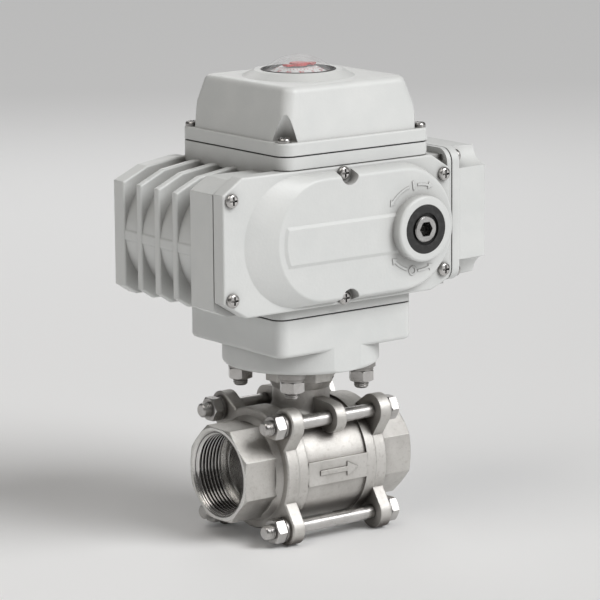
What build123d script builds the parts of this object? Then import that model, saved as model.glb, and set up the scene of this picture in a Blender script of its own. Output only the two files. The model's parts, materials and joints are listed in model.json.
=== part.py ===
from build123d import *
import math
import os

# Electric quarter-turn actuator on a three-piece threaded ball valve, in millimetres.
# Frame: the origin is the ball's centre, X runs along the pipe, the front gear cover faces -Y,
# and Z runs up the stem. The ball is fully open at rest.

# ------------------------------------------------------------------ valve
PORT_END = 59.5  # half of the face-to-face length
PORT_FLATS = 53.0  # octagon across flats
THREAD_RADIUS = 23.9  # major radius of the 1 1/2 inch parallel pipe thread
THREAD_LENGTH = 19.0
BORE_RADIUS = 19.0
FLANGE_OUTER = 35.5
FLANGE_INNER = 27.5
FLANGE_RADIUS = 35.0
BODY_RADIUS = 33.5
RIM_START = 21.0
CAVITY_RADIUS = 30.0
SPIGOT_DEPTH = 3.0
SEAL_RADIUS = 32.0
BALL_RADIUS = 29.0
SEAT_RADIUS = 27.0
TIE_OFFSET = 30.0  # tie bolts stand at +/- this in Y and Z
TIE_RADIUS = 4.0
NUT_FLATS = 13.0
NUT_HEIGHT = 6.5
SPRING_WASHER = 2.0
EAR_RADIUS = 9.5
EAR_TANGENTS = (26.0, 64.0)  # angles on the flange where an ear's sides start
LUG_RADIUS = 8.6
LUG_HALF = 3.4
NECK_RADIUS = 16.5
PAD_BOTTOM = 48.5
PAD_TOP = 58.5
PAD_REACH = 21.0
PAD_TIP = 5.3
PAD_SCREW_CIRCLE = 18.0
PAD_SCREW_SEAT = 66.0
STEM_RADIUS = 8.0
STEM_SQUARE = 11.0

# ------------------------------------------------------------------ base
DISC_RADIUS = 45.0
BASE_BOTTOM = 71.6
BASE_TOP = 93.0
BASE_X = 48.0
BASE_Y = 44.0
BASE_CORNER = 7.0
STUD_OFFSET = 24.75  # 70 mm bolt circle
STUD_WASHERS = 53.6  # underside of the washers on the studs
BASE_SCREWS = (38.5, 34.5)
GASKET = 0.8

# ------------------------------------------------------------------ main housing
FLOOR_BOTTOM = BASE_TOP + GASKET
BODY_BOTTOM = 100.0
BODY_TOP = 175.5
NECK_BOTTOM = 178.0
NECK_TOP = 185.0
BODY_FRONT = -40.5
BODY_BACK = 55.9
BODY_RIGHT = 72.5
SIDE_PLATE = 69.5
FIN_LEFT = -89.5
FIN_START = -46.0
FIN_ROUND = 1.3
FIN_LAYERS = ((-40.5, -18.5), (-6.1, -1.4), (11.0, 16.0), (28.6, 33.3), (45.6, 55.9))
MOTOR_DRUM_RADIUS = 36.0
MOTOR_DRUM_X = -52.5
MOTOR_DRUM_Z = 135.0
CHAMBER_X = (-35.0, 68.5)
CHAMBER_Y = (-36.5, 51.5)
CHAMBER_FLOOR = 104.0
OPENING_X = (-44.0, 53.0)
OPENING_Y = 43.0
TOP_X = (-48.0, 57.0)
TOP_Y = 49.5
TOP_CORNER = 8.0
TOP_SCREWS = ((-43.0, -43.5), (-43.0, 43.5), (52.0, -43.5), (52.0, 43.5))
PLATE_BOTTOM = 160.0
PLATE_TOP = 163.0
POSTS = ((-29.0, -30.0), (-29.0, 37.0), (59.0, -30.0), (59.0, 37.0))
GLAND_X = 50.0
GLAND_HEIGHTS = (122.0, 154.0)
GLAND_RADIUS = 10.0

# ------------------------------------------------------------------ covers
COVER_FRONT = -50.0
COVER_BACK = BODY_FRONT - GASKET
COVER_BOTTOM = 99.5
COVER_TOP = 177.5
COVER_RIGHT = 69.2
RACE_FRONT = -57.0
RACE_BASE_RADIUS = 37.0
RACE_BASE_X = (-38.5, 31.0)
RACE_TOP_RADIUS = 34.3
RACE_TOP_X = (-22.7, 31.7)
BOSS_FRONT = -64.0
BOSS_RADIUS = 18.75
INNER_BOSS = -51.8  # back of the bearing seat inside the cover
BAND_HEIGHT = 25.5
BAND_MIDDLE = 136.8
BAND_RISE = 0.8
COVER_SCREWS = ((-84.0, 27.5), (-84.0, -27.5), (64.4, 27.5), (64.4, -27.5), (-7.5, 35.2), (-7.5, -35.2))
SIDE_INNER = BODY_RIGHT + GASKET
SIDE_FLANGE = 79.0
SIDE_OUTER = 99.5
SIDE_Y = 47.5
SIDE_Z = (102.0, 179.0)
SIDE_SCREW_INSET = 5.5
SIDE_NOTCH = 12.0
LID_BOTTOM = NECK_TOP + GASKET
LID_FLANGE_TOP = 193.0
LID_TOP = 222.5
LID_TOP_X = (-38.0, 46.0)
LID_TOP_Y = 41.0
LID_POCKET = 7.4
LID_POCKET_HEIGHT = 24.0
RING_TOP = 226.0
COLLAR_BASE = 32.0
COLLAR_TOP = 25.0
WINDOW_RADIUS = 20.0
WINDOW_WALL = 1.6
WINDOW_TOP = 234.3
SEAL_WIDTH = 1.2
DIAL_RADIUS = 18.0
DIAL_INNER = 11.0
DIAL_EDGE = 223.6
DIAL_TOP = 227.2
DIAL_SHEET = 1.2
POINTER_Z = (227.9, 229.0)
POINTER_REACH = 12.5
RETAINER_BOTTOM = 213.5
RETAINER_SCREWS = 30.0
SCREW_RADIUS = 2.0
SCREW_HEAD = 3.9
SCREW_POCKET = 6.0

# ------------------------------------------------------------------ gear train
AXIS_Z = 138.3
WORM_X = 40.5
WORM_PITCH_RADIUS = 8.5
WORM_CORE = 6.4
WORM_TIP = 9.9
WORM_HALF_LENGTH = 18.0
WHEEL_MODULE = 1.6
WHEEL_TEETH = 40
WHEEL_WIDTH = 12.0
SPUR_TEETH = 48
SECOND_IDLER_TEETH = 34
FIRST_IDLER_TEETH = 36
PINION_TEETH = 16
SECOND_IDLER_X = WORM_X - (SPUR_TEETH + SECOND_IDLER_TEETH) / 2
FIRST_IDLER_X = SECOND_IDLER_X - (SECOND_IDLER_TEETH + FIRST_IDLER_TEETH) / 2
MOTOR_X = FIRST_IDLER_X - (FIRST_IDLER_TEETH + PINION_TEETH) / 2
GEAR_FRONT = -49.0
GEAR_BACK = -43.0
SHAFT_RADIUS = 7.5
SHAFT_END = -64.4
BEARING_Y = (-60.5, -53.5)
SEAL_Y = (-63.9, -60.7)
SEAL_LIP = 9.2
SOCKET_FLATS = 8.0
BEARING_OUTER = 14.0
BEARING_BALLS = 11
BALL_CIRCLE = 10.75
BEARING_BALL = 2.1
MOTOR_RADIUS = 22.4
MOTOR_EAR = 28.0
IDLER_PIN_RADIUS = 3.0
REAR_BUSH_Y = (26.0, 34.0)

PRESSURE_ANGLE = math.radians(20)
RUN = 0.05  # radial running clearance


# ------------------------------------------------------------------ shape helpers
def block(x, y, z):
    """Box between low and high limits on each axis."""
    middle = [(pair[0] + pair[1]) / 2 for pair in (x, y, z)]
    sides = [pair[1] - pair[0] for pair in (x, y, z)]
    return Pos(*middle) * Box(*sides)


def prism(axis, outline, low, high):
    """Extrude a flat outline along X, Y or Z between two levels."""
    if axis == "X":
        return extrude(Plane.YZ.offset(low) * outline, high - low, dir=(1, 0, 0))
    if axis == "Y":
        return extrude(Plane.XZ.offset(-low) * outline, high - low, dir=(0, 1, 0))
    return extrude(Plane.XY.offset(low) * outline, high - low, dir=(0, 0, 1))


def rod(axis, radius, low, high, u=0.0, v=0.0):
    """Cylinder along an axis; u and v are its place on the other two axes, in X, Y, Z order."""
    return prism(axis, Pos(u, v) * Circle(radius), low, high)


def ring(axis, inner, outer, low, high, u=0.0, v=0.0):
    """Tube between two radii."""
    return prism(axis, Pos(u, v) * (Circle(outer) - Circle(inner)), low, high)


def rounded_prism(axis, u, v, corner, low, high):
    """Bar with a round-cornered rectangle as its section."""
    outline = Pos((u[0] + u[1]) / 2, (v[0] + v[1]) / 2) * RectangleRounded(u[1] - u[0], v[1] - v[0], corner)
    return prism(axis, outline, low, high)


def hexagon(axis, flats, low, high, u=0.0, v=0.0, bevel=0.5):
    """Hexagonal bar with both ends chamfered round, as on a nut."""
    corner = flats / math.sqrt(3)
    outline = Pos(u, v) * RegularPolygon(flats / 2, 6, major_radius=False)
    turned = rod(axis, corner, low, high, u, v)
    turned = chamfer(turned.edges().filter_by(GeomType.CIRCLE), bevel, bevel * 1.7)
    return prism(axis, outline, low, high) & turned


def pan_screw(length, radius=SCREW_RADIUS, head=SCREW_HEAD):
    """Cross-recessed pan-head screw: the head stands on Z = 0 and the shank points down."""
    height = head * 0.7
    dome = rod("Z", head, 0, height)
    dome = fillet(dome.edges().sort_by(Axis.Z)[-1], height * 0.62)
    arm = head * 0.62
    for reach in ((arm, head * 0.14), (head * 0.14, arm)):
        dome -= block((-reach[0], reach[0]), (-reach[1], reach[1]), (height - head * 0.38, height + 1))
    return dome + rod("Z", radius, -length, 0.1)


def socket_screw(length, radius, head, height, key):
    """Socket-head screw: the head stands on Z = 0 and the shank points down."""
    cap = rod("Z", head, 0, height)
    cap = chamfer(cap.edges().sort_by(Axis.Z)[-1], 0.4)
    cap -= prism("Z", RegularPolygon(key / 2, 6, major_radius=False), height * 0.45, height + 1)
    return cap + rod("Z", radius, -length, 0.1)


def round_hull(centre, radius, start, end):
    """Circle joined by its outer tangents to the line between two points."""
    circle = Pos(*centre) * Circle(radius)
    return make_hull([*circle.edges(), *Line(start, end).edges()])


def four(offset_y, offset_z):
    """The four corner places of a rectangle centred on the axis."""
    return [(side_y * offset_y, side_z * offset_z) for side_y in (-1, 1) for side_z in (-1, 1)]


def together(solids):
    """Separate solids kept as one node."""
    return Compound(children=list(solids))


# ------------------------------------------------------------------ gear outlines
def involute(angle):
    return math.tan(angle) - angle


def gear_outline(teeth, module, phase=0.0, backlash=0.12, addendum=0.9, dedendum=1.2):
    """Spur gear outline; phase 0 puts the middle of a tooth on the +X axis."""
    pitch_radius = teeth * module / 2
    base_radius = pitch_radius * math.cos(PRESSURE_ANGLE)
    tip_radius = pitch_radius + addendum * module
    root_radius = pitch_radius - dedendum * module
    half_tooth = math.pi / (2 * teeth) - backlash * module / pitch_radius + involute(PRESSURE_ANGLE)
    start_radius = max(base_radius, root_radius)
    flank = []
    for step in range(4):
        radius = start_radius + (tip_radius - start_radius) * step / 3
        flank.append((radius, half_tooth - involute(math.acos(min(1.0, base_radius / radius)))))
    if root_radius < start_radius - 0.01:
        flank.insert(0, (root_radius, flank[0][1]))
    tooth = [(radius, -angle) for radius, angle in flank] + [(radius, angle) for radius, angle in reversed(flank)]
    points = []
    for index in range(teeth):
        centre = phase + 2 * math.pi * index / teeth
        points += [(radius * math.cos(centre + a), radius * math.sin(centre + a)) for radius, a in tooth]
    return Polygon(*points, align=None)


def spur_gear(teeth, x, bore, phase=0.0):
    """Narrow spur gear of module 1 on an axis along Y."""
    outline = gear_outline(teeth, 1.0, phase) - Circle(bore)
    return prism("Y", Pos(x, AXIS_Z) * outline, GEAR_FRONT, GEAR_BACK)


# ------------------------------------------------------------------ valve
def valve_body():
    body = rod("X", BODY_RADIUS, -FLANGE_INNER, FLANGE_INNER)
    body += rod("Z", NECK_RADIUS, 15, PAD_BOTTOM)
    seam = [edge for edge in body.edges() if edge.center().Z > 24 and edge.bounding_box().size.X > 20
            and edge.bounding_box().size.Z > 1]
    body = fillet(seam, 4.0)
    for side in (-1, 1):
        low, high = sorted((side * RIM_START, side * FLANGE_INNER))
        body += rod("X", FLANGE_RADIUS, low, high)
    body += Pos(0, 0, PAD_BOTTOM - 2.5) * Cone(NECK_RADIUS, NECK_RADIUS + 2.5, 5.0)
    reach, tip = PAD_REACH, PAD_TIP
    corners = [(reach, -tip), (reach, tip), (tip, reach), (-tip, reach),
               (-reach, tip), (-reach, -tip), (-tip, -reach), (tip, -reach)]
    body += prism("Z", Polygon(*corners, align=None), PAD_BOTTOM, PAD_TOP)
    body += block((-RIM_START, RIM_START), (-FLANGE_RADIUS, -25), (-7, 7))
    for side in (-1, 1):
        lug = round_hull((side * TIE_OFFSET, TIE_OFFSET), LUG_RADIUS, (side * 12, 40), (side * 12, 24))
        body += prism("X", lug, -LUG_HALF, LUG_HALF)
    body -= rod("X", CAVITY_RADIUS, -FLANGE_INNER - 1, FLANGE_INNER + 1)
    for side in (-1, 1):
        low, high = sorted((side * (FLANGE_INNER - SPIGOT_DEPTH), side * (FLANGE_INNER + 1)))
        body -= rod("X", SEAL_RADIUS, low, high)
        body -= rod("X", TIE_RADIUS + 0.2, -10, 10, side * TIE_OFFSET, TIE_OFFSET)
        body -= rod("Z", 2.1, PAD_BOTTOM - 1, PAD_TOP + 1, side * PAD_SCREW_CIRCLE, 0)
        body -= rod("Z", 2.1, PAD_BOTTOM - 1, PAD_TOP + 1, 0, side * PAD_SCREW_CIRCLE)
    body -= rod("Z", 11.5, 20, 33.5)
    body -= rod("Z", STEM_RADIUS + RUN, 30, 41)
    body -= rod("Z", 12.0, 40, 51)
    body -= rod("Z", 14.2, 50.4, PAD_TOP + 1)
    return body


def end_cap(side):
    """Threaded end with its octagon, flange and four bolt ears, made for +X and mirrored for -X."""
    corner = PORT_FLATS / 2 / math.cos(math.pi / 8)
    octagon = RegularPolygon(PORT_FLATS / 2, 8, major_radius=False, rotation=22.5)
    turned = rod("X", corner, FLANGE_OUTER - 1, PORT_END)
    turned = chamfer(turned.edges().sort_by(Axis.X)[-1], 1.0, 2.0)
    cap = prism("X", octagon, FLANGE_OUTER - 1, PORT_END) & turned
    cap += Pos(FLANGE_OUTER + 1.5, 0, 0) * Rot(0, 90, 0) * Cone(30.5, 27.5, 3.0)
    plate = Circle(FLANGE_RADIUS)
    sides = [math.radians(angle) for angle in EAR_TANGENTS]
    feet = [(FLANGE_RADIUS * math.cos(angle), FLANGE_RADIUS * math.sin(angle)) for angle in sides]
    for y, z in four(TIE_OFFSET, TIE_OFFSET):
        start, end = [(math.copysign(foot_y, y), math.copysign(foot_z, z)) for foot_y, foot_z in feet]
        plate += round_hull((y, z), EAR_RADIUS, start, end)
    flange = prism("X", plate, FLANGE_INNER, FLANGE_OUTER)
    outer_rim = flange.edges().filter_by(lambda edge: abs(edge.center().X - FLANGE_OUTER) < 0.01)
    flange = chamfer(outer_rim, 0.8)
    cap += flange
    cap += rod("X", CAVITY_RADIUS - 0.1, FLANGE_INNER - SPIGOT_DEPTH, FLANGE_INNER + 1)
    cap -= rod("X", BORE_RADIUS, FLANGE_INNER - 5, PORT_END + 1)
    cap -= rod("X", SEAT_RADIUS + 0.05, FLANGE_INNER - 5, FLANGE_INNER - 1)
    cap -= rod("X", THREAD_RADIUS, PORT_END - THREAD_LENGTH, PORT_END + 1)
    cap -= rod("X", THREAD_RADIUS + 0.4, PORT_END - THREAD_LENGTH - 2.5, PORT_END - THREAD_LENGTH)
    cap -= Pos(PORT_END - 0.5, 0, 0) * Rot(0, 90, 0) * Cone(THREAD_RADIUS, THREAD_RADIUS + 1.0, 1.0)
    for y, z in four(TIE_OFFSET, TIE_OFFSET):
        cap -= rod("X", TIE_RADIUS + 0.1, FLANGE_INNER - 1, FLANGE_OUTER + 1, y, z)
    return cap if side > 0 else mirror(cap, Plane.YZ)


def ball():
    sphere = Sphere(BALL_RADIUS) - rod("X", BORE_RADIUS, -40, 40)
    sphere -= block((-40, 40), (-40, 40), (27.5, 40))
    return sphere - block((-4.15, 4.15), (-40, 40), (22.0, 40))


def ball_seats():
    seat = ring("X", BORE_RADIUS + 0.2, SEAT_RADIUS, -FLANGE_INNER + 1, -16.0) - Sphere(BALL_RADIUS + 0.1)
    return together([seat, mirror(seat, Plane.YZ)])


def body_seals():
    inner, outer = CAVITY_RADIUS, SEAL_RADIUS - 0.05
    start, end = FLANGE_INNER - SPIGOT_DEPTH + 0.05, FLANGE_INNER - 0.05
    return together([ring("X", inner, outer, start, end), ring("X", inner, outer, -end, -start)])


def valve_stem():
    stem = block((-4, 4), (-7.5, 7.5), (22.3, 29))
    stem += rod("Z", 11.0, 28.2, 32.0)
    stem += rod("Z", STEM_RADIUS, 31, 58)
    half = STEM_SQUARE / 2
    square = block((-half, half), (-half, half), (57, 76))
    return stem + chamfer(square.faces().sort_by(Axis.Z)[-1].edges(), 0.8)


def disc_springs():
    lower = Pos(0, 0, 51.0) * Cone(11.6, 9.8, 1.0) - rod("Z", STEM_RADIUS + 0.1, 49, 54)
    upper = Pos(0, 0, 52.05) * Cone(9.8, 11.6, 1.0) - rod("Z", STEM_RADIUS + 0.1, 49, 54)
    return together([lower, upper])


def stem_nut():
    return hexagon("Z", 21.0, 52.6, 57.4) - rod("Z", STEM_RADIUS + 0.02, 50, 60)


def tie_bolts():
    start = -FLANGE_OUTER - SPRING_WASHER - NUT_HEIGHT - 5.5
    seat_x = FLANGE_OUTER + SPRING_WASHER
    bolts = []
    for y, z in four(TIE_OFFSET, TIE_OFFSET):
        shank = rod("X", TIE_RADIUS, start, seat_x + 1, y, z)
        shank = chamfer(shank.edges().sort_by(Axis.X)[0], 0.8)
        bolts.append(shank + hexagon("X", NUT_FLATS, seat_x, seat_x + 5.3, y, z))
    return together(bolts)


def m8_nuts():
    """Nuts of the tie bolts and of the base studs."""
    high = -FLANGE_OUTER - SPRING_WASHER
    low = high - NUT_HEIGHT
    nuts = []
    for y, z in four(TIE_OFFSET, TIE_OFFSET):
        nut = hexagon("X", NUT_FLATS, low, high, y, z, 0.7)
        nuts.append(nut - rod("X", TIE_RADIUS + 0.02, low - 1, high + 1, y, z))
    for x, y in four(STUD_OFFSET, STUD_OFFSET):
        nut = hexagon("Z", NUT_FLATS, STUD_WASHERS - NUT_HEIGHT, STUD_WASHERS, x, y, 0.7)
        nuts.append(nut - rod("Z", TIE_RADIUS + 0.02, 40, 60, x, y))
    return together(nuts)


def split_washer(axis, inner, outer, low, high, u, v):
    """Spring lock washer with its slanted gap."""
    washer = ring(axis, inner, outer, low, high, u, v)
    if axis == "X":
        gap = Pos((low + high) / 2, u, v + (inner + outer) / 2) * Rot(0, 0, 20) * Box(9, 0.7, outer - inner + 2)
    else:
        gap = Pos(u + (inner + outer) / 2, v, (low + high) / 2) * Rot(20, 0, 0) * Box(outer - inner + 2, 0.7, 9)
    return washer - gap


def m8_washers():
    """Spring washers of the tie bolts, and spring and flat washers of the base studs."""
    washers = []
    for y, z in four(TIE_OFFSET, TIE_OFFSET):
        washers.append(split_washer("X", 4.1, 7.0, -FLANGE_OUTER - SPRING_WASHER, -FLANGE_OUTER, y, z))
        washers.append(split_washer("X", 4.1, 7.0, FLANGE_OUTER, FLANGE_OUTER + SPRING_WASHER, y, z))
    for x, y in four(STUD_OFFSET, STUD_OFFSET):
        washers.append(split_washer("Z", 4.1, 7.0, STUD_WASHERS, STUD_WASHERS + SPRING_WASHER, x, y))
        washers.append(ring("Z", 4.1, 8.2, STUD_WASHERS + SPRING_WASHER, PAD_TOP, x, y))
    return together(washers)


# ------------------------------------------------------------------ base
def base_housing():
    box = rounded_prism("Z", (-BASE_X, BASE_X), (-BASE_Y, BASE_Y), BASE_CORNER, BASE_BOTTOM, BASE_TOP)
    box = fillet(box.faces().sort_by(Axis.Z)[0].edges(), 2.5)
    disc = rod("Z", DISC_RADIUS, PAD_TOP, BASE_BOTTOM + 3)
    disc = fillet(disc.edges().sort_by(Axis.Z)[0], 2.5)
    disc &= block((-60, 60), (-BASE_Y, BASE_Y), (50, 90))
    base = box + disc
    base -= rounded_prism("Z", (-43, 43), (-39, 39), 5, 77, BASE_TOP + 1)
    base += rod("Z", 28, 72, BASE_TOP - 2)
    for x, y in four(*BASE_SCREWS):
        base += rod("Z", 7.5, 75, BASE_TOP, x, y)
    base -= rod("Z", 22, PAD_SCREW_SEAT + 4.5, BASE_TOP + 1)
    base -= rod("Z", 13.6, 50, PAD_SCREW_SEAT + 5)
    for side in (-1, 1):
        for x, y in ((side * PAD_SCREW_CIRCLE, 0), (0, side * PAD_SCREW_CIRCLE)):
            base -= rod("Z", 2.1, 50, PAD_SCREW_SEAT + 1, x, y)
            base -= rod("Z", 3.7, PAD_SCREW_SEAT, PAD_SCREW_SEAT + 5, x, y)
    for x, y in four(*BASE_SCREWS):
        base -= rod("Z", 3.1, 60, BASE_TOP + 1, x, y)
        base -= rod("Z", 5.3, 60, BASE_BOTTOM + 6.5, x, y)
    for x, y in four(STUD_OFFSET, STUD_OFFSET):
        base -= rod("Z", 4.02, 50, 76, x, y)
    return base


def base_screws():
    """Screws sunk in the underside of the base, up into the main housing."""
    screw = Pos(0, 0, BASE_BOTTOM + 6.5) * Rot(180, 0, 0) * socket_screw(21, 3.0, 5.0, 6.0, 5.0)
    return together([Pos(x, y, 0) * screw for x, y in four(*BASE_SCREWS)])


def base_gasket():
    gasket = rounded_prism("Z", (-47.2, 47.2), (-43.2, 43.2), 6.2, BASE_TOP, FLOOR_BOTTOM)
    gasket -= rounded_prism("Z", (-43.5, 43.5), (-39.5, 39.5), 5, BASE_TOP - 1, FLOOR_BOTTOM + 1)
    for x, y in four(*BASE_SCREWS):
        gasket += ring("Z", 3.1, 6.5, BASE_TOP, FLOOR_BOTTOM, x, y)
        gasket -= rod("Z", 3.1, BASE_TOP - 1, FLOOR_BOTTOM + 1, x, y)
    return gasket


def base_studs():
    studs = []
    for x, y in four(STUD_OFFSET, STUD_OFFSET):
        stud = rod("Z", 4.0, 43.0, 75.5, x, y)
        studs.append(chamfer(stud.edges().sort_by(Axis.Z)[0], 0.8))
    return together(studs)


def pad_screws():
    """Screws from inside the base down into the tips of the valve's pad."""
    screw = socket_screw(16, 2.05, 3.5, 4.0, 3.0)
    reach = PAD_SCREW_CIRCLE
    return together([Pos(x, y, PAD_SCREW_SEAT) * screw for x, y in ((reach, 0), (-reach, 0), (0, reach), (0, -reach))])


# ------------------------------------------------------------------ main housing
def fin_outline(front):
    """Side view of one cooling fin at the motor end; the front one is taller, to back the gear cover."""
    low, high, shoulder = (104.0, 168.5, (-78.0, BODY_TOP)) if front else (105.5, 165.0, (-73.0, 172.5))
    points = [(FIN_START, BODY_BOTTOM), (-81.0, BODY_BOTTOM), (FIN_LEFT, low), (FIN_LEFT, high),
              shoulder, (-52.0, BODY_TOP - 0.01), (FIN_START, BODY_TOP - 0.01)]
    return Polygon(*points, align=None)


def fin(low, high):
    """One cooling fin with its free edges rounded, apart from the front one's joint face."""
    plate = prism("Y", fin_outline(low == BODY_FRONT), low, high)
    free = [edge for edge in plate.edges() if edge.center().X < FIN_START - 1 and edge.bounding_box().size.Y < 0.1
            and edge.center().Y > BODY_FRONT + 0.1]
    return fillet(free, FIN_ROUND)


def housing_shell():
    """Outer shape of the main housing before it is hollowed."""
    core = block((FIN_START, BODY_RIGHT), (BODY_FRONT, BODY_BACK), (BODY_BOTTOM, BODY_TOP))
    core = fillet(core.edges().filter_by(Axis.X).group_by(Axis.Y)[-1], 7.0)
    flange = rounded_prism("X", (-SIDE_Y, SIDE_Y), SIDE_Z, 8.0, SIDE_PLATE, BODY_RIGHT)
    neck = rounded_prism("Z", TOP_X, (-TOP_Y, TOP_Y), TOP_CORNER, BODY_TOP - 2, NECK_TOP)
    foot = rounded_prism("Z", (-BASE_X, BASE_X), (-BASE_Y, BASE_Y), BASE_CORNER, FLOOR_BOTTOM, BODY_BOTTOM + 2)
    shell = core + foot
    for low, high in FIN_LAYERS:
        shell += fin(low, high)
    drum = rod("Y", MOTOR_DRUM_RADIUS, BODY_FRONT, BODY_BACK - 4, MOTOR_DRUM_X, MOTOR_DRUM_Z)
    drum &= block((-100, 0), (-60, 60), (BODY_BOTTOM, 190))
    rib = block((FIN_LEFT + 0.6, -80), (-30, 50), (131, 138.5))
    rib = fillet(rib.edges().filter_by(Axis.Y).group_by(Axis.X)[0], 2.0)
    shell += drum + rib + neck
    shell -= block((-100, SIDE_PLATE), (-60, BODY_FRONT), (COVER_BOTTOM - 0.3, NECK_BOTTOM))
    return shell + flange


def gland_places():
    return [(GLAND_X, z) for z in GLAND_HEIGHTS]


def main_housing():
    housing = housing_shell()
    chamber = block(CHAMBER_X, CHAMBER_Y, (CHAMBER_FLOOR, 172))
    chamber = fillet(chamber.edges().filter_by(Axis.Z), 5.0)
    opening = rounded_prism("Z", OPENING_X, (-OPENING_Y, OPENING_Y), 5.0, 168, NECK_TOP + 1)
    for x, y in TOP_SCREWS:
        opening -= rod("Z", 6.0, 160, 190, x, y)
    housing -= opening & block((-100, 100), (BODY_FRONT + 4, 60), (160, 190))
    housing -= chamber
    housing -= rod("Y", MOTOR_RADIUS + 0.3, BODY_FRONT - 1, 45.0, MOTOR_X, AXIS_Z)
    housing -= motor_flange(0.3, BODY_FRONT - 1, BODY_FRONT + 3)
    for side in (-1, 1):
        housing -= rod("Y", 1.52, BODY_FRONT + 2, BODY_FRONT + 12, MOTOR_X, AXIS_Z + side * MOTOR_EAR)
    support = block((31.0, CHAMBER_X[1] + 1), REAR_BUSH_Y, (CHAMBER_FLOOR - 1, 153))
    housing += support - rod("Y", 9.0, 20, 40, WORM_X, AXIS_Z)
    for x, y in POSTS:
        housing += rod("Z", 5.0, CHAMBER_FLOOR - 1, PLATE_BOTTOM, x, y)
        housing -= rod("Z", 2.02, PLATE_BOTTOM - 10, PLATE_BOTTOM + 1, x, y)
    housing -= rod("Y", 10.6, BODY_FRONT - 1, CHAMBER_Y[0] + 1, WORM_X, AXIS_Z)
    for x in (FIRST_IDLER_X, SECOND_IDLER_X):
        housing -= rod("Y", IDLER_PIN_RADIUS, BODY_FRONT - 1, BODY_FRONT + 4.5, x, AXIS_Z)
    housing -= rod("Z", 19.5, 90, CHAMBER_FLOOR + 1)
    for x, y in four(*BASE_SCREWS):
        housing -= rod("Z", 3.02, 90, FLOOR_BOTTOM + 6, x, y)
    for x, z in cover_screw_places():
        housing -= rod("Y", SCREW_RADIUS + 0.02, BODY_FRONT - 1, BODY_FRONT + 8.5, x, z)
    for y, z in side_screw_places():
        housing -= rod("X", SCREW_RADIUS + 0.02, SIDE_PLATE - 1, BODY_RIGHT + 1, y, z)
    for x, y in TOP_SCREWS:
        housing -= rod("Z", SCREW_RADIUS + 0.02, NECK_TOP - 9, NECK_TOP + 1, x, y)
    for x, z in gland_places():
        housing -= rod("Y", GLAND_RADIUS, CHAMBER_Y[1] - 1, BODY_BACK + 1, x, z)
    housing -= block((CHAMBER_X[1] - 1, BODY_RIGHT + 1), (-10, 14), (112, 119))
    return housing


def motor_flange(gap, low, high):
    """Round motor flange with an ear above and below, grown by a gap."""
    outline = Circle(MOTOR_RADIUS + gap)
    for side in (-1, 1):
        outline += Pos(0, side * MOTOR_EAR / 2) * Rectangle(10 + 2 * gap, MOTOR_EAR)
        outline += Pos(0, side * MOTOR_EAR) * Circle(5 + gap)
    return prism("Y", Pos(MOTOR_X, AXIS_Z) * outline, low, high)


# ------------------------------------------------------------------ front gear cover
def cover_screw_places():
    return [(x, AXIS_Z + z) for x, z in COVER_SCREWS]


def cover_outline(inset=0.0):
    points = [(FIN_LEFT + inset, 109.0 + inset * 0.6), (-74.0 + inset * 0.6, COVER_BOTTOM + inset),
              (56.0 - inset * 0.3, COVER_BOTTOM + inset), (COVER_RIGHT - inset, 105.0 + inset * 0.7),
              (COVER_RIGHT - inset, 169.0 - inset * 0.6), (56.0 - inset * 0.6, COVER_TOP - inset),
              (-76.4 + inset * 0.6, COVER_TOP - inset),
              (FIN_LEFT + inset, 168.8 - inset * 0.6)]
    return Polygon(*points, align=None)


def stadium(ends, radius):
    """Racetrack outline in the X-Z plane at the worm shaft's height."""
    return Pos((ends[0] + ends[1]) / 2, AXIS_Z) * SlotCenterToCenter(ends[1] - ends[0], 2 * radius)


def racetrack(base, top, grow):
    """Raised gear bulge between the cover's face and its flat top."""
    lower = Plane.XZ.offset(-base) * stadium(RACE_BASE_X, RACE_BASE_RADIUS + grow)
    upper = Plane.XZ.offset(-top) * stadium(RACE_TOP_X, RACE_TOP_RADIUS + grow)
    return loft([lower, upper])


def band():
    """Low flat band across the top of the bulge, up to the boss, with sloped edges."""
    sections = []
    for y, inset in ((RACE_FRONT + 0.5, 0.0), (RACE_FRONT - BAND_RISE, 3.0)):
        strip = Pos((WORM_X - 60) / 2, BAND_MIDDLE) * Rectangle(WORM_X + 60, BAND_HEIGHT - 2 * inset)
        sections.append(Plane.XZ.offset(-y) * (stadium(RACE_TOP_X, RACE_TOP_RADIUS - 2.4 - inset) & strip))
    return loft(sections)


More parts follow.
